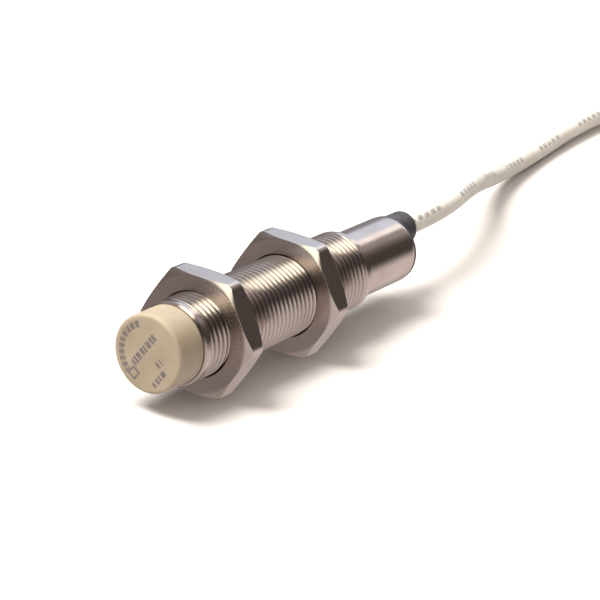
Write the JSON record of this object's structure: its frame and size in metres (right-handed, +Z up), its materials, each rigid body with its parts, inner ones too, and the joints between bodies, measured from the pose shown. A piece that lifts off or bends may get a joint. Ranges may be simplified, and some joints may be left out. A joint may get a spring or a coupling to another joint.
{
  "type": "inductive proximity sensor",
  "caption": "Threaded cylindrical inductive proximity sensor with a plastic sensing cap, two hexagon mounting nuts and an off-axis moulded cable outlet.",
  "frame": {"origin": "on the surface that the nuts' flats rest on, under the middle of the sensor between its sensing face and the end of its cable boss", "axes": "+X along the sensor's axis from the sensing face towards the cable, +Z up, +Y across"},
  "size_m": [0.2591, 0.0364, 0.017],
  "materials": {
    "cap_plastic": "cream moulded engineering plastic, fine satin",
    "plated_barrel": "nickel-plated brass, turned and thread-rolled, bright",
    "plated_nut": "nickel-plated brass, bright with slight tumbling marks",
    "black_plastic": "black moulded plastic, satin",
    "clear_guide": "clear red moulded plastic",
    "ferrite": "sintered ferrite, dull",
    "bobbin_plastic": "natural nylon",
    "copper_wire": "enamelled copper",
    "board_laminate": "glass-epoxy laminate with green solder mask",
    "chip_moulding": "black epoxy moulding",
    "resistor_body": "ceramic chip with a black film and tinned ends",
    "capacitor_body": "brown ceramic chip with tinned ends",
    "lamp_body": "red chip lamp",
    "solder": "tin, bright",
    "crimp_metal": "rolled steel",
    "brown_insulation": "PVC insulation",
    "black_insulation": "PVC insulation",
    "blue_insulation": "PVC insulation",
    "potting": "dark casting resin",
    "cable_jacket": "warm off-white PVC jacket, satin",
    "tie_plastic": "black nylon strap"
  },
  "bodies": {
    "sensor": {"sensing_cap": "cap_plastic", "barrel": "plated_barrel", "end_plug": "black_plastic", "light_guide": "clear_guide", "ferrite_core": "ferrite", "coil_bobbin": "bobbin_plastic", "coil_winding": "copper_wire", "coil_leads": "copper_wire", "circuit_board": "board_laminate", "oscillator_chip": "chip_moulding", "output_transistor": "chip_moulding", "protection_diode": "chip_moulding", "resistors": "resistor_body", "ceramic_capacitors": "capacitor_body", "trimming_resistor": "resistor_body", "voltage_regulator": "chip_moulding", "indicator_led": "lamp_body", "solder_joints": "solder", "cable_entry": "cable_jacket", "cable_clamp": "crimp_metal", "brown_core": "brown_insulation", "black_core": "black_insulation", "blue_core": "blue_insulation", "potting_resin": "potting", "cable": "cable_jacket", "cable_hank": "cable_jacket", "cable_end": "cable_jacket", "hank_ties": "tie_plastic", "brown_lead": "brown_insulation", "black_lead": "black_insulation", "blue_lead": "blue_insulation", "tinned_ends": "solder"},
    "front_nut": {"front_nut": "plated_nut"},
    "rear_nut": {"rear_nut": "plated_nut"}
  },
  "joints": [
    {"name": "front_nut_travel", "type": "slide", "parent": "sensor", "child": "front_nut", "axis": [1, 0, 0], "range_m": [-0.005, 0.0086]},
    {"name": "rear_nut_travel", "type": "slide", "parent": "sensor", "child": "rear_nut", "axis": [1, 0, 0], "range_m": [-0.0086, 0.0112]}
  ]
}
